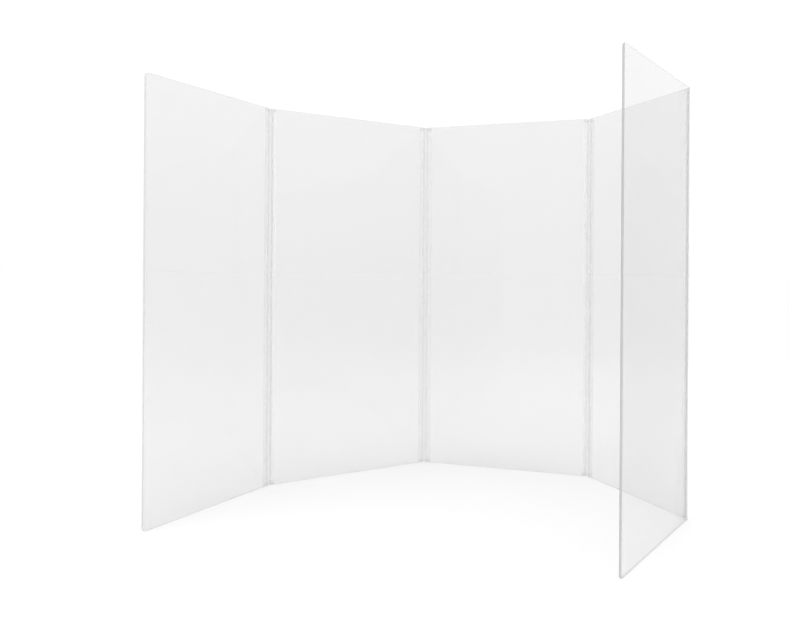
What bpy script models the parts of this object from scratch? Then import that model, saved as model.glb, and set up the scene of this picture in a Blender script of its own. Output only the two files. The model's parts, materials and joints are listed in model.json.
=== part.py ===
"""Folding drum shield: five clear acrylic sheets in an arc, joined by four clear live hinges.

Metres, +Z up, standing on Z = 0 with the middle sheet along X. The open side, where the player
sits, faces -Y. Sheets and hinges are numbered from the left as seen from that side.

Each hinge is one full-length extrusion in two plastics: a rigid channel gripping each sheet's
edge, and a flexible web between them. The web bends along two lines, one at each channel's back,
so a pair of sheets folds flat to either side.
"""

import math

import bmesh
import bpy

# Sheets
PANEL_WIDTH = 0.6096
PANEL_HEIGHT = 1.2192
SHEET_THICKNESS = 0.00635
FREE_CORNER_RADIUS = 0.0127
EDGE_BEVEL = 0.0006

# Hinge channels
GRIP_DEPTH = 0.0125
GRIP_CLEARANCE = 0.0003
WALL_THICKNESS = 0.0014
BACK_THICKNESS = 0.0022
BACK_CORNER_RADIUS = 0.0014
LIP_THICKNESS = 0.0010
RIB_HEIGHT = 0.0003
RIB_HALF_WIDTH = 0.0008
RIB_PITCH = 0.0034
RIB_COUNT = 3
HINGE_END_SETBACK = 0.0010

# Hinge webs
WEB_THICKNESS = 0.0020
WEB_WAIST = 0.0015
BEAD_RADIUS = 0.0015
SWING_CLEARANCE = 0.0003
FOLDED_GAP = 0.0012

# How far each hinge is folded inwards from straight as the shield stands, in degrees
FOLDS = {"hinge_1": 30.4, "hinge_2": 64.6, "hinge_3": 45.4, "hinge_4": 45.8}

# Points along a quarter turn of the larger and the smaller arcs
CORNER_STEPS = 10
SMALL_ARC_STEPS = 5
SMOOTH_BELOW = math.radians(30)

# Decimals kept of a length in metres, so that a point on the middle plane lies exactly on it
LENGTH_DECIMALS = 9

# Worked out from the sizes above
CHANNEL_HALF = SHEET_THICKNESS / 2 + GRIP_CLEARANCE + RIB_HEIGHT + WALL_THICKNESS
BACK_FACE = WEB_THICKNESS / 2 + SWING_CLEARANCE
SLOT_FLOOR = BACK_FACE + BACK_THICKNESS
LINE_TO_SHEET = SLOT_FLOOR + GRIP_CLEARANCE
LINE_SPACING = 2 * CHANNEL_HALF + FOLDED_GAP
HINGE_LENGTH = PANEL_HEIGHT - 2 * HINGE_END_SETBACK


def arc(centre_x, centre_y, radius, start, end, steps):
    """Points from one angle to another, both ends included, in degrees."""
    angles = [math.radians(start + (end - start) * i / steps) for i in range(steps + 1)]
    return [(centre_x + radius * math.cos(a), centre_y + radius * math.sin(a)) for a in angles]


def mirrored(half):
    """The closed outline whose upper half is given, from its first to its last point."""
    lower = [(x, -y) for x, y in reversed(half) if y > 0]
    return half + lower


def clear_plastic(name, colour, alpha, roughness):
    """One see-through plastic, as a Principled material."""
    material = bpy.data.materials.new(name)
    material.use_nodes = True
    shader = material.node_tree.nodes["Principled BSDF"]
    shader.inputs["Base Color"].default_value = (*colour, 1.0)
    shader.inputs["Alpha"].default_value = alpha
    shader.inputs["Roughness"].default_value = roughness
    shader.inputs["Metallic"].default_value = 0.0
    material.diffuse_color = (*colour, alpha)
    return material


def add_empty(name, parent=None, distance=0.0, turn=0.0):
    """A frame carried by its parent, out along the parent's X and turned about Z in degrees."""
    empty = bpy.data.objects.new(name, None)
    empty.empty_display_size = 0.05
    bpy.context.scene.collection.objects.link(empty)
    empty.parent = parent
    empty.location.x = distance
    empty.rotation_euler.z = math.radians(turn)
    return empty


def add_piece(name, mesh, material, parent, distance=0.0, height=0.0, turn=0.0):
    """One piece in the frame of the body that carries it."""
    mesh.materials.append(material)
    mesh.shade_smooth()
    mesh.set_sharp_from_angle(angle=SMOOTH_BELOW)
    piece = bpy.data.objects.new(name, mesh)
    bpy.context.scene.collection.objects.link(piece)
    piece.parent = parent
    piece.location = (distance, 0.0, height)
    piece.rotation_euler.z = math.radians(turn)
    return piece


def mesh_of(name, bm):
    bmesh.ops.recalc_face_normals(bm, faces=bm.faces)
    mesh = bpy.data.meshes.new(name)
    bm.to_mesh(mesh)
    bm.free()
    return mesh


def extruded(name, outline, length):
    """A plan outline drawn out along Z."""
    bm = bmesh.new()
    face = bm.faces.new([bm.verts.new((x, y, 0.0)) for x, y in outline])
    top = bmesh.ops.extrude_face_region(bm, geom=[face])["geom"]
    raised = [part for part in top if isinstance(part, bmesh.types.BMVert)]
    bmesh.ops.translate(bm, verts=raised, vec=(0.0, 0.0, length))
    return mesh_of(name, bm)


def sheet_mesh(name, far_edge_free):
    """A sheet from its near edge at X = 0, with bevelled rims.

    A free far edge has rounded corners; an edge that goes into a hinge is cut square.
    """
    width, height, radius = PANEL_WIDTH, PANEL_HEIGHT, FREE_CORNER_RADIUS
    if far_edge_free:
        lower = arc(width - radius, radius, radius, -90, 0, CORNER_STEPS)
        upper = arc(width - radius, height - radius, radius, 0, 90, CORNER_STEPS)
    else:
        lower = [(width, 0.0)]
        upper = [(width, height)]
    outline = [(0.0, 0.0), *lower, *upper, (0.0, height)]

    bm = bmesh.new()
    half = SHEET_THICKNESS / 2
    front = bm.faces.new([bm.verts.new((x, -half, z)) for x, z in outline])
    back = bmesh.ops.extrude_face_region(bm, geom=[front])["geom"]
    moved = [part for part in back if isinstance(part, bmesh.types.BMVert)]
    bmesh.ops.translate(bm, verts=moved, vec=(0.0, SHEET_THICKNESS, 0.0))
    rims = [edge for edge in bm.edges if abs(edge.verts[0].co.y - edge.verts[1].co.y) < half]
    bmesh.ops.bevel(bm, geom=rims, offset=EDGE_BEVEL, segments=2, profile=0.5, affect="EDGES")
    return mesh_of(name, bm)


def grip_rib(centre_x, wall_y):
    """The low round rib inside a channel's wall, that the sheet's face slides on."""
    radius = (RIB_HALF_WIDTH**2 + RIB_HEIGHT**2) / (2 * RIB_HEIGHT)
    reach = math.degrees(math.asin(RIB_HALF_WIDTH / radius))
    centre_y = wall_y - RIB_HEIGHT + radius
    return arc(centre_x, centre_y, radius, -90 + reach, -90 - reach, SMALL_ARC_STEPS)


def channel_mesh(name):
    """The rigid channel: its bending line is the mesh's origin and the sheet lies towards +X.

    The back has a shallow cradle round the bending line, and the walls thin towards round lips.
    """
    cradle_radius = BEAD_RADIUS + SWING_CLEARANCE
    cradle_reach = math.degrees(math.acos(BACK_FACE / cradle_radius))
    inner_y = SHEET_THICKNESS / 2 + GRIP_CLEARANCE + RIB_HEIGHT
    lip_radius = LIP_THICKNESS / 2
    lip_x = LINE_TO_SHEET + GRIP_DEPTH - lip_radius

    cradle = arc(0.0, 0.0, cradle_radius, 0, cradle_reach, SMALL_ARC_STEPS)
    corner = arc(
        BACK_FACE + BACK_CORNER_RADIUS,
        CHANNEL_HALF - BACK_CORNER_RADIUS,
        BACK_CORNER_RADIUS,
        180,
        90,
        SMALL_ARC_STEPS,
    )
    lip = arc(lip_x, inner_y + lip_radius, lip_radius, 90, -90, 2 * SMALL_ARC_STEPS)
    ribs = []
    for i in reversed(range(RIB_COUNT)):
        ribs += grip_rib(LINE_TO_SHEET + RIB_PITCH * (i + 0.75), inner_y)
    slot_corner = [(SLOT_FLOOR, inner_y)]
    return extruded(name, mirrored(cradle + corner + lip + ribs + slot_corner), HINGE_LENGTH)


def web_mesh(name):
    """The flexible web, from one bending line at the origin to the other at +X.

    A round bead runs down each line, and the strip between them draws in to a thinner waist.
    """
    half = WEB_THICKNESS / 2
    waist = WEB_WAIST / 2
    bead_reach = math.degrees(math.asin(half / BEAD_RADIUS))
    first = arc(0.0, 0.0, BEAD_RADIUS, 180, bead_reach, 2 * SMALL_ARC_STEPS)
    second = arc(LINE_SPACING, 0.0, BEAD_RADIUS, 180 - bead_reach, 0, 2 * SMALL_ARC_STEPS)
    start_x = first[-1][0]
    end_x = second[0][0]
    strip = []
    for i in range(1, CORNER_STEPS):
        share = i / CORNER_STEPS
        drawn_in = (half - waist) * math.sin(math.pi * share)
        strip.append((start_x + (end_x - start_x) * share, half - drawn_in))
    outline = [(x, round(y, LENGTH_DECIMALS)) for x, y in first + strip + second]
    return extruded(name, mirrored(outline), HINGE_LENGTH)


def add_channel(node, parent, distance, turn, material):
    return add_piece(
        node, channel_mesh(node), material, parent, distance, HINGE_END_SETBACK, turn
    )


def add_wing(root, side, numbers, acrylic, rigid_vinyl, flexible_vinyl):
    """The hinges and sheets carried out from the middle sheet to one side.

    side is "left" or "right" as seen from the open side; numbers pairs each hinge with its sheet.
    """
    inward = 1 if side == "left" else -1
    near, far = ("right", "left") if side == "left" else ("left", "right")
    carrier = add_empty(f"{side}_wing", root, turn=180 if side == "left" else 0)
    reach = PANEL_WIDTH / 2 + LINE_TO_SHEET
    for hinge_number, panel_number in numbers:
        hinge = f"hinge_{hinge_number}"
        panel = f"panel_{panel_number}"
        half_fold = inward * FOLDS[hinge] / 2
        is_last = (hinge_number, panel_number) == numbers[-1]

        add_channel(f"{hinge}_{near}_channel", carrier, reach, 180, rigid_vinyl)
        web_line = add_empty(f"{hinge}_{near}_line", carrier, reach, half_fold)
        web = f"{hinge}_web"
        add_piece(web, web_mesh(web), flexible_vinyl, web_line, height=HINGE_END_SETBACK)

        carrier = add_empty(f"{hinge}_{far}_line", web_line, LINE_SPACING, half_fold)
        add_channel(f"{hinge}_{far}_channel", carrier, 0.0, 0, rigid_vinyl)
        add_piece(panel, sheet_mesh(panel, is_last), acrylic, carrier, LINE_TO_SHEET)
        reach = 2 * LINE_TO_SHEET + PANEL_WIDTH


def stand_on_origin(root):
    """Brings the middle of the footprint's box over the origin."""
    bpy.context.view_layer.update()
    pieces = [obj for obj in bpy.context.scene.objects if obj.type == "MESH"]
    points = [obj.matrix_world @ vert.co for obj in pieces for vert in obj.data.vertices]
    for axis in (0, 1):
        values = [point[axis] for point in points]
        root.location[axis] -= (min(values) + max(values)) / 2
    bpy.context.view_layer.update()


def build():
    for obj in list(bpy.data.objects):
        bpy.data.objects.remove(obj, do_unlink=True)

    acrylic = clear_plastic("clear_acrylic", (0.90, 0.91, 0.91), 0.30, 0.05)
    rigid_vinyl = clear_plastic("clear_rigid_vinyl", (0.84, 0.85, 0.85), 0.40, 0.15)
    flexible_vinyl = clear_plastic("clear_flexible_vinyl", (0.80, 0.81, 0.81), 0.45, 0.25)

    root = add_empty("drum_shield")
    add_piece("panel_3", sheet_mesh("panel_3", False), acrylic, root, -PANEL_WIDTH / 2)
    add_wing(root, "left", [(2, 2), (1, 1)], acrylic, rigid_vinyl, flexible_vinyl)
    add_wing(root, "right", [(3, 4), (4, 5)], acrylic, rigid_vinyl, flexible_vinyl)
    stand_on_origin(root)

    for obj in bpy.context.scene.objects:
        if obj.name.endswith("_line"):
            x, y, _ = obj.matrix_world.translation
            print(f"{obj.name}: bending line at X {x:.6f}, Y {y:.6f}")


build()
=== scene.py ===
# %% [markdown]
# # A folding drum shield
#
# Five clear acrylic sheets stand in an arc on their bottom edges, and four clear live hinges join
# them from top to bottom. This notebook dresses the measured frame of the shield: it models each
# sheet, hinge channel and hinge web finely, gives them their plastics and lights them softly.
#
# The frame comes first. Every piece below takes its place and main sizes from it, so nothing has
# to be fitted by eye.

import json
import math

import bmesh
import bpy
from mathutils import Matrix, Vector


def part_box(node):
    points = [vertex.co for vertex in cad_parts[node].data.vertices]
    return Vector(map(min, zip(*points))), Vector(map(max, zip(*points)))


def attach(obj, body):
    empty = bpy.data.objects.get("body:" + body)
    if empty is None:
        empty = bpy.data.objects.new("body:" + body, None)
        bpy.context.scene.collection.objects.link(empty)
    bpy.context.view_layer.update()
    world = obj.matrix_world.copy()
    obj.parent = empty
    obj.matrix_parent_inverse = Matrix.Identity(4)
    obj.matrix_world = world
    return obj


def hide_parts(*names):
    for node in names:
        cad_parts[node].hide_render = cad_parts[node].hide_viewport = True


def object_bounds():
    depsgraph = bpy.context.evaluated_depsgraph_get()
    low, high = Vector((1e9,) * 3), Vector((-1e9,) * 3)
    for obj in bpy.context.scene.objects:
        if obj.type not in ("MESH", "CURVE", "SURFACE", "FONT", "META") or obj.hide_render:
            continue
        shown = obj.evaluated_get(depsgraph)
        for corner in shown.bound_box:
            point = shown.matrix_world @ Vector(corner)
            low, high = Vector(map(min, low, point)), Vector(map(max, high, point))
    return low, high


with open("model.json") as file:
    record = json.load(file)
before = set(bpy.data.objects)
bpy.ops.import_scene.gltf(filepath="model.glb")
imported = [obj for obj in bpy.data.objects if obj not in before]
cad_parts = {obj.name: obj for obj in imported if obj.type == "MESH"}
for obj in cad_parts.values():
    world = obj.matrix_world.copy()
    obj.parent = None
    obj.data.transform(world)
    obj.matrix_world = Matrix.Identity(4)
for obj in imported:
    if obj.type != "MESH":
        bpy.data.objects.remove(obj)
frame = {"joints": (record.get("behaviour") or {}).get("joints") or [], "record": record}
cad_low, cad_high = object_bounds()
bpy.ops.object.select_all(action="DESELECT")
print("shield from", tuple(round(v, 4) for v in cad_low), "to", tuple(round(v, 4) for v in cad_high))

# %% [markdown]
# ## The view
#
# The photograph was taken from about 0.7 m above the floor, to the right of the open side, with a
# level camera. A level camera keeps the upright edges parallel, and the lens is shifted to frame
# the shield, as on a studio camera. The picture also leans by a third of a degree.

# %% Camera
PICTURE_WIDTH, PICTURE_HEIGHT = 788, 630
FOCAL_PIXELS = 1002
STRAIGHT_AHEAD_PIXEL = (510.0, 271.8)
CAMERA_PLACE = (1.3006, -2.6675, 0.6955)
CAMERA_HEADING = math.radians(22.73)
CAMERA_LEAN = math.radians(0.37)
QUARTER_TURN = math.radians(90)
SENSOR_WIDTH_MM = 36.0

camera_data = bpy.data.cameras.new("camera")
camera_data.sensor_width = SENSOR_WIDTH_MM
camera_data.lens = FOCAL_PIXELS / PICTURE_WIDTH * SENSOR_WIDTH_MM
camera_data.shift_x = -(STRAIGHT_AHEAD_PIXEL[0] - PICTURE_WIDTH / 2) / PICTURE_WIDTH
camera_data.shift_y = (STRAIGHT_AHEAD_PIXEL[1] - PICTURE_HEIGHT / 2) / PICTURE_WIDTH
camera = bpy.data.objects.new("camera", camera_data)
bpy.context.scene.collection.objects.link(camera)
heading = Matrix.Rotation(CAMERA_HEADING, 4, "Z")
level = Matrix.Rotation(QUARTER_TURN, 4, "X")
lean = Matrix.Rotation(CAMERA_LEAN, 4, "Z")
camera.matrix_world = Matrix.Translation(CAMERA_PLACE) @ heading @ level @ lean
bpy.context.scene.camera = camera
print(f"lens {camera_data.lens:.1f} mm, shift {camera_data.shift_x:.3f}, {camera_data.shift_y:.3f}")

# %% [markdown]
# ## Writing a shader as sums
#
# A pattern is a sum over sockets. This small class lets Python's own operators add the Math nodes,
# so that a line of maths in the code reads like the maths it stands for.

# %% A socket with operators
class Socket:
    """An output of a node, with operators that add Math nodes beside it."""

    def __init__(self, nodes, output):
        self.nodes = nodes
        self.output = output

    def maths(self, operation, first, second):
        return self.nodes.node("ShaderNodeMath", {"operation": operation}, {0: first, 1: second})

    def __add__(self, other):
        return self.maths("ADD", self, other)

    __radd__ = __add__

    def __mul__(self, other):
        return self.maths("MULTIPLY", self, other)

    __rmul__ = __mul__


# %% [markdown]
# Every other node comes from one method, which sets the node up and then fills its sockets. Noise,
# a grey and a bump are built on it. The same class serves the plastics, the floor and the studio
# round them.

# %% The nodes of a material or world
class Nodes:
    def __init__(self, data, coordinates="Object"):
        self.data = data
        self.data.use_nodes = True
        self.place = self.node("ShaderNodeTexCoord", output=coordinates)

    def fill(self, socket, value):
        if isinstance(value, Socket):
            self.data.node_tree.links.new(value.output, socket)
        else:
            socket.default_value = value

    def node(self, kind, settings=None, values=None, output=0):
        """One node of a kind: its settings come first, then the values or links of its inputs."""
        made = self.data.node_tree.nodes.new(kind)
        for name, value in (settings or {}).items():
            setattr(made, name, value)
        for name, value in (values or {}).items():
            self.fill(made.inputs[name], value)
        return Socket(self, made.outputs[output])

    def noise(self, scale, across=1.0, along=1.0, detail=2.0):
        """Cloudy noise on the coordinates, drawn out along Z where along is under across."""
        stretch = {"Vector": self.place, "Scale": (across, across, along)}
        where = self.node("ShaderNodeMapping", {}, stretch)
        values = {"Vector": where, "Scale": scale, "Detail": detail}
        return self.node("ShaderNodeTexNoise", {}, values)

    def grey(self, share, dark, light):
        """A grey that goes from dark to light with share."""
        values = {0: share, 6: (dark, dark, dark, 1.0), 7: (light, light, light, 1.0)}
        return self.node("ShaderNodeMix", {"data_type": "RGBA"}, values, output=2)

    def bump(self, height, strength, distance):
        values = {"Height": height, "Strength": strength, "Distance": distance}
        return self.node("ShaderNodeBump", {}, values)

    def finish(self, shader="Principled BSDF", **values):
        """Fills a shader's sockets, each named with _ for its spaces."""
        for name, value in values.items():
            self.fill(self.data.node_tree.nodes[shader].inputs[name.replace("_", " ")], value)
        return self.data


def new_material(name):
    return Nodes(bpy.data.materials.new(name))


def wear(piece, *materials):
    for material in materials:
        piece.data.materials.append(material)


# %% [markdown]
# ## The studio
#
# Clear plastic shows mostly what is round it. The photograph was taken in an even white space, so
# the world is white all round and a little brighter overhead, like a room under one large diffuser.
# Colours go to the picture unchanged, because a film-like view would turn the white grey. A line of
# sight can cross many clear faces, so the limit on them is raised.

# %% World
HORIZON_WHITE = 1.0
OVERHEAD_WHITE = 1.3
CLEAR_FACES_IN_LINE = 64

scene = bpy.context.scene
scene.view_settings.view_transform = "Standard"
scene.cycles.transparent_max_bounces = CLEAR_FACES_IN_LINE

studio = Nodes(bpy.data.worlds.new("white_studio"), coordinates="Generated")
up = studio.node("ShaderNodeSeparateXYZ", {}, {"Vector": studio.place}, output="Z")
scene.world = studio.finish("Background", Color=studio.grey(up, HORIZON_WHITE, OVERHEAD_WHITE))
print("world:", scene.world.name)

# %% [markdown]
# Large soft lamps add a gentle direction. They light the shield but are hidden from view and from
# the gloss, because flat sheets would mirror them as hard-edged squares.

# %% Lamps
middle = (cad_low + cad_high) / 2


def soft_lamp(name, place, side, watts):
    """A square area lamp aimed at the middle of the shield."""
    data = bpy.data.lights.new(name, "AREA")
    data.shape = "SQUARE"
    data.size = side
    data.energy = watts
    lamp = bpy.data.objects.new(name, data)
    scene.collection.objects.link(lamp)
    lamp.location = place
    lamp.rotation_euler = (middle - Vector(place)).to_track_quat("-Z", "Y").to_euler()
    lamp.visible_camera = lamp.visible_glossy = False


soft_lamp("key", place=(-2.6, -3.2, 3.6), side=2.5, watts=16)
soft_lamp("fill", place=(3.4, -1.2, 1.4), side=2.0, watts=18)
soft_lamp("top", place=(0.0, -0.2, 2.7), side=1.2, watts=4)
soft_lamp("back", place=(0.4, 3.8, 3.2), side=3.0, watts=10)
print("lamps:", [lamp.name for lamp in bpy.data.lights])

# %% [markdown]
# ## The floor
#
# The floor is a plain pale one, so wide that its far edge lies almost on the horizon. Its tone is
# chosen so that far out it comes as bright as the studio behind it, and then hardly a line shows
# between the two. It is set a hair below the sheets, because two faces in one plane would flicker.

# %% Floor
MM = 0.001
FLOOR_SIDE = 400.0
FLOOR_DROP = 0.2 * MM

bpy.ops.mesh.primitive_plane_add(size=FLOOR_SIDE, location=(0, 0, -FLOOR_DROP))
floor = bpy.context.object
floor.name = "floor"
pale = new_material("pale_floor")
pale_tones = pale.grey(pale.noise(0.8), dark=0.83, light=0.84)
wear(floor, pale.finish(Base_Color=pale_tones, Roughness=0.9, Specular_IOR_Level=0.0))
print("floor", tuple(round(v, 4) for v in floor.dimensions))

# %% [markdown]
# ## Clear acrylic
#
# Clear plastic could be made as glass that bends light. A sheet of even thickness hardly moves
# what is behind it, so a thin veil does as well: each face lets most light through unbent, and
# the rest of it is a pale, glossy surface. Two faces make one sheet, so the veil is set per face.
# A veil thins its own gloss too, so it has a higher IOR than acrylic's 1.49, which brings it back.
#
# Cast acrylic is very smooth. Its tone drifts a little over the sheet, wiping leaves faint upright
# streaks, and handling leaves fine hairlines. They change the gloss more than the colour.

# %% Acrylic faces
acrylic = new_material("clear_acrylic_face")
drift = acrylic.noise(1.6, detail=1.0)
wipes = acrylic.noise(9.0, along=0.12)
hairlines = acrylic.noise(260.0, along=0.03)
acrylic_face = acrylic.finish(
    Base_Color=acrylic.grey(0.7 * drift + 0.3 * wipes, dark=0.47, light=0.53),
    Roughness=0.03 + 0.05 * wipes + 0.03 * hairlines,
    Alpha=0.213,
    IOR=2.4,
    Normal=acrylic.bump(drift + 0.02 * hairlines, strength=0.2, distance=0.5 * MM),
)
print("made", acrylic_face.name)

# %% [markdown]
# A sheet's edge is sawn and then polished. Light that enters the face leaves at the edge, so the
# edge looks denser and darker than the face, as a grey line, and that shade is painted into the
# edge's colour. Fine ripples from the saw run across it. How dark it looks depends on how much of
# the sheet lies behind it, so one edge finish comes in four painted tones. The top and bottom rims
# are pale lines, and the rims that the hinges grip hardly show. The two free upright edges get a
# darker painted shade, and the right-hand one the darkest painted shade, as it is seen nearly
# along its sheet.

# %% Acrylic edges
def sawn_acrylic(name, tones, alpha):
    """A sawn edge. On an upright edge its ripples run across the sheet's thickness."""
    edge = new_material(name)
    ripples = edge.noise(900.0, across=0.3)
    soft = edge.noise(14.0)
    return edge.finish(
        Base_Color=edge.grey(0.8 * soft + 0.2 * ripples, *tones),
        Roughness=0.12 + 0.12 * ripples,
        Alpha=alpha,
        IOR=1.49,
        Normal=edge.bump(ripples, strength=0.15, distance=0.03 * MM),
    )


# Each edge tone has the shade it shows painted in: pale rims, gripped rims, free edges, and the
# darkest free edge.
pale_edge = sawn_acrylic("clear_acrylic_pale_edge", tones=(0.54, 0.62), alpha=0.32)
gripped_edge = sawn_acrylic("clear_acrylic_gripped_edge", tones=(0.58, 0.66), alpha=0.25)
free_edge_painted_shade = sawn_acrylic("clear_acrylic_free_edge_painted_shade", tones=(0.48, 0.56), alpha=0.5)
darkest_painted_shade_edge = sawn_acrylic("clear_acrylic_darkest_painted_shade_edge", tones=(0.36, 0.44), alpha=0.72)
print("edges:", [edge.name for edge in (pale_edge, gripped_edge, free_edge_painted_shade, darkest_painted_shade_edge)])

# %% [markdown]
# ## Clear vinyl
#
# The hinge is drawn through a die in two grades of clear vinyl. The channels are rigid and glossy,
# and the web between them is soft, milkier and less glossy. Light goes almost straight through a
# channel's thin walls, but the solid bar at its back bends it aside and shows as a grey line. That
# grey is painted shade: the bar wears a darker copy of the rigid vinyl. The die leaves fine draw
# lines along the whole length of both.

# %% Rigid and soft vinyl
def drawn_vinyl(name, tones, alpha, roughness, line_scale):
    """Vinyl with draw lines along Z."""
    vinyl = new_material(name)
    draw_lines = vinyl.noise(line_scale, along=0.0004, detail=3.0)
    haze = vinyl.noise(5.0)
    return vinyl.finish(
        Base_Color=vinyl.grey(0.5 * haze + 0.5 * draw_lines, *tones),
        Roughness=roughness + 0.12 * draw_lines,
        Alpha=alpha,
        IOR=1.54,
        Normal=vinyl.bump(draw_lines, strength=0.15, distance=0.05 * MM),
    )


rigid_vinyl = drawn_vinyl(
    "clear_rigid_vinyl_drawn", tones=(0.90, 0.96), alpha=0.12, roughness=0.10, line_scale=700.0
)
# The back bar's grey is painted shade, for the light that the bar bends aside.
bar_painted_shade = drawn_vinyl(
    "clear_rigid_vinyl_painted_shade_bar", tones=(0.47, 0.55), alpha=0.125, roughness=0.10, line_scale=700.0
)
soft_vinyl = drawn_vinyl(
    "clear_soft_vinyl_drawn", tones=(0.57, 0.65), alpha=0.30, roughness=0.28, line_scale=500.0
)
print("drawn:", [vinyl.name for vinyl in (rigid_vinyl, bar_painted_shade, soft_vinyl)])

# %% [markdown]
# A saw leaves matt cut ends. The last centimetre or so beside them is made darker and duller than
# the rest, and these stretches show as dark tips on the hinges.

# %% Cut ends and dull tips
def sawn_vinyl(name, tones, alpha):
    """Matt vinyl with saw marks, for the cut ends and the darker tips beside them."""
    sawn = new_material(name)
    saw_marks = sawn.noise(900.0, detail=4.0)
    return sawn.finish(
        Base_Color=sawn.grey(saw_marks, *tones),
        Roughness=0.45 + 0.2 * saw_marks,
        Alpha=alpha,
        Normal=sawn.bump(saw_marks, strength=0.5, distance=0.1 * MM),
    )


cut_end = sawn_vinyl("vinyl_cut_end", tones=(0.54, 0.66), alpha=0.34)
rigid_tip = sawn_vinyl("rigid_vinyl_dull_tip", tones=(0.62, 0.72), alpha=0.14)
soft_tip = sawn_vinyl("soft_vinyl_dull_tip", tones=(0.54, 0.64), alpha=0.33)
print("dulled:", [vinyl.name for vinyl in (cut_end, rigid_tip, soft_tip)])

# %% [markdown]
# ## Sizes from the frame
#
# The bending lines are the joints of the frame, and the boxes of its nodes give the rest. Each
# piece is modelled in one simple place, with its bending line on the origin and the sheet running
# out along X, and then it is copied to wherever the frame has it.

# %% Bending lines, bodies and headings
bending_line = {
    joint["name"].removesuffix("_bend"): Vector(joint["pos_m"][:2]) for joint in frame["joints"]
}
body_of = {
    node: body
    for body, nodes in frame["record"]["behaviour"]["bodies"].items()
    for node in nodes
}


def heading_to(line, node):
    """The direction in plan from a bending line to the middle of a node."""
    low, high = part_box(node)
    away = ((low + high) / 2).xy - bending_line[line]
    return math.atan2(away.y, away.x)


print("bending lines:", sorted(bending_line))

# %% [markdown]
# The middle sheet and the channel on its left edge lie along X, so their boxes give the sizes of
# every sheet and every channel.

# %% Sizes of a sheet and a hinge
sheet_low, sheet_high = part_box("panel_3")
grip_low, grip_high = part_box("hinge_2_right_channel")
origin_x = bending_line["hinge_2_right"].x
SHEET_WIDTH = sheet_high.x - sheet_low.x
SHEET_HEIGHT = sheet_high.z
SHEET_HALF = (sheet_high.y - sheet_low.y) / 2
LINE_TO_SHEET = sheet_low.x - origin_x
BACK_FACE = grip_low.x - origin_x
LIP_END = grip_high.x - origin_x
GRIP_HALF = (grip_high.y - grip_low.y) / 2
LINE_SPACING = (bending_line["hinge_2_right"] - bending_line["hinge_2_left"]).length
END_SETBACK = grip_low.z
HINGE_BOTTOM, HINGE_TOP = END_SETBACK, SHEET_HEIGHT - END_SETBACK
print(f"sheet {SHEET_WIDTH / MM:.1f} x {SHEET_HEIGHT / MM:.1f} x {2 * SHEET_HALF / MM:.2f} mm")
print(f"channel {GRIP_HALF * 2 / MM:.2f} mm thick, from {BACK_FACE / MM:.1f} to {LIP_END / MM:.1f} mm")

# %% [markdown]
# ## Picking by place
#
# By hand one would click the edges of a box. In code they are found by where they lie, which works
# as well after any change of size.

# %% Add a box and pick parts of it
NEAR = 0.01 * MM
X, Y, Z = range(3)


def add_box(name, low, high):
    """A box between two corners, left open in edit mode."""
    low, high = Vector(low), Vector(high)
    bpy.ops.object.select_all(action="DESELECT")
    bpy.ops.mesh.primitive_cube_add(size=1, location=(low + high) / 2, scale=high - low)
    bpy.ops.object.transform_apply(location=True, rotation=True, scale=True)
    bpy.context.object.name = name
    bpy.ops.object.mode_set(mode="EDIT")
    return bpy.context.object


def pick(kind, test):
    """Selects the verts, edges or faces of the mesh in edit mode that pass a test."""
    bpy.ops.mesh.select_mode(type=kind)
    bpy.ops.mesh.select_all(action="DESELECT")
    mesh = bmesh.from_edit_mesh(bpy.context.object.data)
    for part in {"VERT": mesh.verts, "EDGE": mesh.edges, "FACE": mesh.faces}[kind]:
        if test(part):
            part.select_set(True)
    bmesh.update_edit_mesh(bpy.context.object.data)


def runs_along(edge, axis):
    """True if an edge runs along X, Y or Z."""
    way = edge.verts[1].co - edge.verts[0].co
    return all(abs(way[other]) < NEAR for other in (X, Y, Z) if other != axis)


# %% Cut, paint and finish
SMOOTH_BELOW = math.radians(35)


def cut(place, normal):
    """Cuts the whole mesh in edit mode along a plane and keeps both sides."""
    bpy.ops.mesh.select_all(action="SELECT")
    bpy.ops.mesh.bisect(plane_co=place, plane_no=normal)


def paint(material):
    """Gives the faces selected in edit mode one of the materials that the piece wears."""
    piece = bpy.context.object
    piece.active_material_index = piece.data.materials.find(material.name)
    bpy.ops.object.material_slot_assign()


def done():
    """Leaves edit mode and shades the piece smooth, with its real creases kept."""
    bpy.ops.object.mode_set(mode="OBJECT")
    bpy.ops.object.shade_smooth_by_angle(angle=SMOOTH_BELOW)
    piece = bpy.context.object
    print(piece.name, "has", len(piece.data.polygons), "faces")
    return piece


# %% [markdown]
# A finished model is copied once for each node that it stands for. The copy has a mesh of its own.
# It is stood on its bending line and turned, and then it rides the node's body and replaces it.

# %% Copy a model to its place
def copy_to(model, name, node, line, turn):
    """A copy of a model for one node of the frame, stood on its bending line and turned."""
    bpy.ops.object.select_all(action="DESELECT")
    model.select_set(True)
    bpy.context.view_layer.objects.active = model
    bpy.ops.object.duplicate(linked=False)
    piece = bpy.context.object
    piece.name = piece.data.name = name
    piece.location.xy = bending_line[line]
    piece.rotation_euler.z = turn
    bpy.ops.object.transform_apply(location=True, rotation=True, scale=True)
    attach(piece, body_of[node])
    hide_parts(node)
    return piece


# %% [markdown]
# ## The sheets
#
# A sheet is a box with its sharp edges polished off. The two end sheets also have round corners
# on the side that people brush past. A bevel on the short corner edges makes those, and a finer
# bevel goes round both rims. Faces are told apart by how much of their normal lies along an axis:
# nearly all of it where a face is square on, and over half where it looks mostly that way.

# %% Model a sheet
CORNER_RADIUS = 12.7 * MM
CORNER_SEGMENTS = 16
ARRIS = 0.6 * MM
ARRIS_SEGMENTS = 3
SQUARE_ON = 0.99
MOSTLY = 0.5


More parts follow.
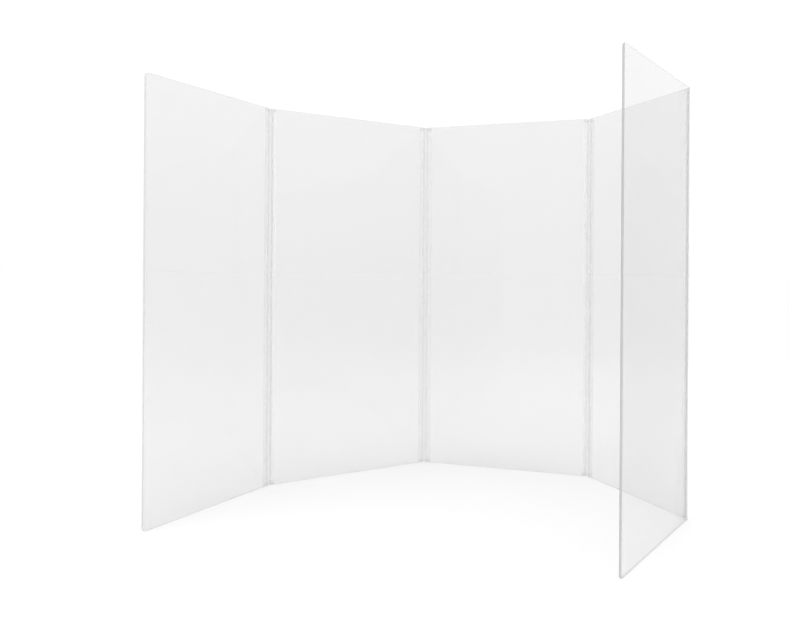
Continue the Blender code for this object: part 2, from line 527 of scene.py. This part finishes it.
def model_sheet(name, free_end):
    end = LINE_TO_SHEET + SHEET_WIDTH
    piece = add_box(name, (LINE_TO_SHEET, -SHEET_HALF, 0), (end, SHEET_HALF, SHEET_HEIGHT))
    if free_end:
        pick("EDGE", lambda edge: runs_along(edge, Y) and edge.verts[0].co.x > end - NEAR)
        bpy.ops.mesh.bevel(offset=CORNER_RADIUS, segments=CORNER_SEGMENTS, affect="EDGES")
    pick("EDGE", lambda edge: abs(edge.verts[0].co.y - edge.verts[1].co.y) < NEAR)
    bpy.ops.mesh.bevel(offset=ARRIS, segments=ARRIS_SEGMENTS, affect="EDGES")
    wear(piece, acrylic_face, pale_edge, gripped_edge, free_edge_painted_shade)
    pick("FACE", lambda face: abs(face.normal.y) < SQUARE_ON)
    paint(pale_edge)
    pick("FACE", lambda face: abs(face.normal.x) > MOSTLY)
    paint(gripped_edge)
    # The free upright edges get the darker painted shade.
    if free_end:
        pick("FACE", lambda face: face.normal.x > MOSTLY)
        paint(free_edge_painted_shade)
    return done()


inner_sheet = model_sheet("inner_sheet", free_end=False)
end_sheet = model_sheet("end_sheet", free_end=True)

# %% [markdown]
# The sheets are numbered from the left. Each starts at a hinge and runs out from it: the two on the
# left from the left side of a hinge, and the others from the right side of one.

# %% Stand the five sheets
SHEET_COUNT = 5
MIDDLE_SHEET = 3

for number in range(1, SHEET_COUNT + 1):
    node = f"panel_{number}"
    line = f"hinge_{number}_left" if number < MIDDLE_SHEET else f"hinge_{number - 1}_right"
    model = end_sheet if number in (1, SHEET_COUNT) else inner_sheet
    turn = heading_to(line, node)
    sheet = copy_to(model, f"sheet_{number}", node, line, turn)
    # The right-hand free edge gets the darkest painted shade.
    if number == SHEET_COUNT:
        sheet.material_slots[free_edge_painted_shade.name].material = darkest_painted_shade_edge
    print(f"{sheet.name} runs at {math.degrees(turn):.1f} degrees")

# %% [markdown]
# ## The hinge channels
#
# A channel grips the sheet's edge with two walls. It could be an outline drawn out to length, but
# by hand it is as quick to start with the back as a bar, cut it where the walls stand, and extrude
# those two strips. The wall tips are drawn in and rounded, and three low ribs are raised inside
# each wall. A round cradle for the web's bead is cut out of the back with a cylinder.

# %% Sizes of a channel
WALL = 1.4 * MM
LIP = 1.0 * MM
LIP_ROUNDING = 0.48 * MM
LIP_SEGMENTS = 5
BACK = 2.2 * MM
BACK_CORNER = 1.4 * MM
BACK_SEGMENTS = 8
CRADLE_RADIUS = 1.8 * MM
WALL_INSIDE = GRIP_HALF - WALL
MOUTH = BACK_FACE + BACK
print(f"slot {2 * WALL_INSIDE / MM:.2f} mm wide and {(LIP_END - MOUTH) / MM:.1f} mm deep")


# %% Draw out the walls
def draw_out_walls():
    """Cuts the bar where the walls stand, and extrudes those two strips of its front."""
    for side in (-1, 1):
        cut((0, side * WALL_INSIDE, 0), (0, 1, 0))
    pick(
        "FACE",
        lambda face: face.normal.x > SQUARE_ON
        and abs(face.calc_center_median().y) > WALL_INSIDE,
    )
    bpy.ops.mesh.extrude_region_move(TRANSFORM_OT_translate={"value": (LIP_END - MOUTH, 0, 0)})


def draw_in_lips():
    """Moves the outer corners of the wall tips inwards, so that the lips are thinner."""
    for side in (-1, 1):
        pick(
            "VERT",
            lambda vert: vert.co.x > LIP_END - NEAR and side * vert.co.y > GRIP_HALF - NEAR,
        )
        bpy.ops.transform.translate(value=(0, side * (LIP - WALL), 0))


# %% [markdown]
# Low ribs inside the walls press on the sheet and hold it. A rib runs along the whole wall, so
# three cuts mark it off, the middle one is moved inwards, and the crest is rounded by a bevel.

# %% Raise a rib
RIB_HEIGHT = 0.3 * MM
RIB_HALF_WIDTH = 0.8 * MM
RIB_ROUNDING = 0.48 * MM
RIB_SEGMENTS = 3
RIB_PITCH = 3.4 * MM
FIRST_RIB = 2.55 * MM
RIB_COUNT = 3


def raise_rib(x):
    """A low round rib inside each of the two walls, with its crest at x."""
    for place in (x - RIB_HALF_WIDTH, x, x + RIB_HALF_WIDTH):
        cut((place, 0, 0), (1, 0, 0))
    for side in (-1, 1):
        pick(
            "VERT",
            lambda vert: abs(vert.co.x - x) < NEAR and abs(vert.co.y - side * WALL_INSIDE) < NEAR,
        )
        bpy.ops.transform.translate(value=(0, -side * RIB_HEIGHT, 0))
    crest = WALL_INSIDE - RIB_HEIGHT
    pick(
        "EDGE",
        lambda edge: runs_along(edge, Z)
        and abs(edge.verts[0].co.x - x) < NEAR
        and abs(abs(edge.verts[0].co.y) - crest) < NEAR,
    )
    bpy.ops.mesh.bevel(offset=RIB_ROUNDING, segments=RIB_SEGMENTS, affect="EDGES")


# %% Round the lips and the back
def round_edges():
    """Rounds the lips and the two outer corners of the back."""
    pick("EDGE", lambda edge: runs_along(edge, Z) and edge.verts[0].co.x > LIP_END - NEAR)
    bpy.ops.mesh.bevel(offset=LIP_ROUNDING, segments=LIP_SEGMENTS, affect="EDGES")
    pick(
        "EDGE",
        lambda edge: runs_along(edge, Z)
        and edge.verts[0].co.x < BACK_FACE + NEAR
        and abs(edge.verts[0].co.y) > GRIP_HALF - NEAR,
    )
    bpy.ops.mesh.bevel(offset=BACK_CORNER, segments=BACK_SEGMENTS, affect="EDGES")


# %% [markdown]
# The cradle and the beads are round, so they come from rods that run the whole length of the
# hinge. A Boolean modifier cuts a rod out of a piece or joins it on. The rod for a cut reaches a
# little past both ends, so that no skin is left over the hole.

# %% Add a rod, and cut it out or join it on
ROD_SIDES = 48
CUT_THROUGH = 1 * MM


def add_rod(radius, x, past=0):
    """An upright round rod at x, as long as the hinge or longer by past at each end."""
    bottom, top = HINGE_BOTTOM - past, HINGE_TOP + past
    bpy.ops.mesh.primitive_cylinder_add(
        vertices=ROD_SIDES, radius=radius, depth=top - bottom, location=(x, 0, (bottom + top) / 2)
    )
    bpy.ops.object.transform_apply(location=True, rotation=True, scale=True)
    return bpy.context.object


def combine(piece, rod, operation):
    """Joins a rod on to a piece or cuts it out, and deletes the rod."""
    boolean = piece.modifiers.new(operation.title(), "BOOLEAN")
    boolean.operation = operation
    boolean.object = rod
    bpy.ops.object.select_all(action="DESELECT")
    piece.select_set(True)
    bpy.context.view_layer.objects.active = piece
    bpy.ops.object.modifier_apply(modifier=boolean.name)
    bpy.data.objects.remove(rod)


# %% [markdown]
# Every piece of a hinge is sawn to length, so the channel and the web both get cut ends. Both are
# also darker and duller at their tips. A cut right across the piece marks off each tip, and then its
# faces are painted.

# %% Paint the ends
TIP = 12 * MM


def paint_ends(tip):
    """Marks off a dull tip at each end of a hinge piece, and paints the tips and cut ends."""
    low_tip, high_tip = HINGE_BOTTOM + TIP, HINGE_TOP - TIP
    for height in (low_tip, high_tip):
        cut((0, 0, height), (0, 0, 1))
    pick("FACE", lambda face: not low_tip < face.calc_center_median().z < high_tip)
    paint(tip)
    pick("FACE", lambda face: abs(face.normal.z) > SQUARE_ON)
    paint(cut_end)


# %% Model a channel
def model_channel():
    piece = add_box("channel", (BACK_FACE, -GRIP_HALF, HINGE_BOTTOM), (MOUTH, GRIP_HALF, HINGE_TOP))
    draw_out_walls()
    draw_in_lips()
    for number in range(RIB_COUNT):
        raise_rib(LINE_TO_SHEET + FIRST_RIB + RIB_PITCH * number)
    round_edges()
    bpy.ops.object.mode_set(mode="OBJECT")
    combine(piece, add_rod(CRADLE_RADIUS, 0, past=CUT_THROUGH), "DIFFERENCE")
    bpy.ops.object.mode_set(mode="EDIT")
    wear(piece, rigid_vinyl, cut_end, rigid_tip, bar_painted_shade)
    # The back bar wears the darker vinyl, whose grey is painted shade.
    pick("FACE", lambda face: face.calc_center_median().x < MOUTH + NEAR)
    paint(bar_painted_shade)
    paint_ends(rigid_tip)
    return done()


channel = model_channel()

# %% Grip the sheets with eight channels
HINGE_COUNT = SHEET_COUNT - 1

for number in range(1, HINGE_COUNT + 1):
    for side, panel in (("left", f"panel_{number}"), ("right", f"panel_{number + 1}")):
        line = f"hinge_{number}_{side}"
        grip = copy_to(channel, f"{line}_grip", f"{line}_channel", line, heading_to(line, panel))
        print(f"{grip.name} holds {panel}")

# %% [markdown]
# ## The hinge webs
#
# The web is a soft strip with a round bead on each bending line. It starts as a bar, is divided
# along its width and drawn in towards its waist, one row of points after another, and then two
# rods are joined on as the beads.

# %% Model a web
WEB = 2.0 * MM
WAIST = 1.5 * MM
WEB_STRIPS = 10
BEAD_RADIUS = 1.7 * MM


def model_web():
    piece = add_box("web", (0, -WEB / 2, HINGE_BOTTOM), (LINE_SPACING, WEB / 2, HINGE_TOP))
    pick("EDGE", lambda edge: runs_along(edge, X))
    bpy.ops.mesh.subdivide(number_cuts=WEB_STRIPS - 1)
    for strip in range(1, WEB_STRIPS):
        share = strip / WEB_STRIPS
        pick("VERT", lambda vert: abs(vert.co.x - LINE_SPACING * share) < NEAR)
        drawn = 1 - (1 - WAIST / WEB) * math.sin(math.pi * share)
        bpy.ops.transform.resize(value=(1, drawn, 1), center_override=(0, 0, 0))
    bpy.ops.object.mode_set(mode="OBJECT")
    for x in (0, LINE_SPACING):
        combine(piece, add_rod(BEAD_RADIUS, x), "UNION")
    bpy.ops.object.mode_set(mode="EDIT")
    wear(piece, soft_vinyl, cut_end, soft_tip)
    paint_ends(soft_tip)
    return done()


web = model_web()

# %% Hang the four webs
for number in range(1, HINGE_COUNT + 1):
    near, far = f"hinge_{number}_left", f"hinge_{number}_right"
    across = bending_line[far] - bending_line[near]
    turn = math.atan2(across.y, across.x)
    strip = copy_to(web, f"hinge_{number}_strip", f"hinge_{number}_web", near, turn)
    print(f"{strip.name} runs at {math.degrees(turn):.1f} degrees")

# %% Put the models away
for model in (inner_sheet, end_sheet, channel, web):
    bpy.data.objects.remove(model)
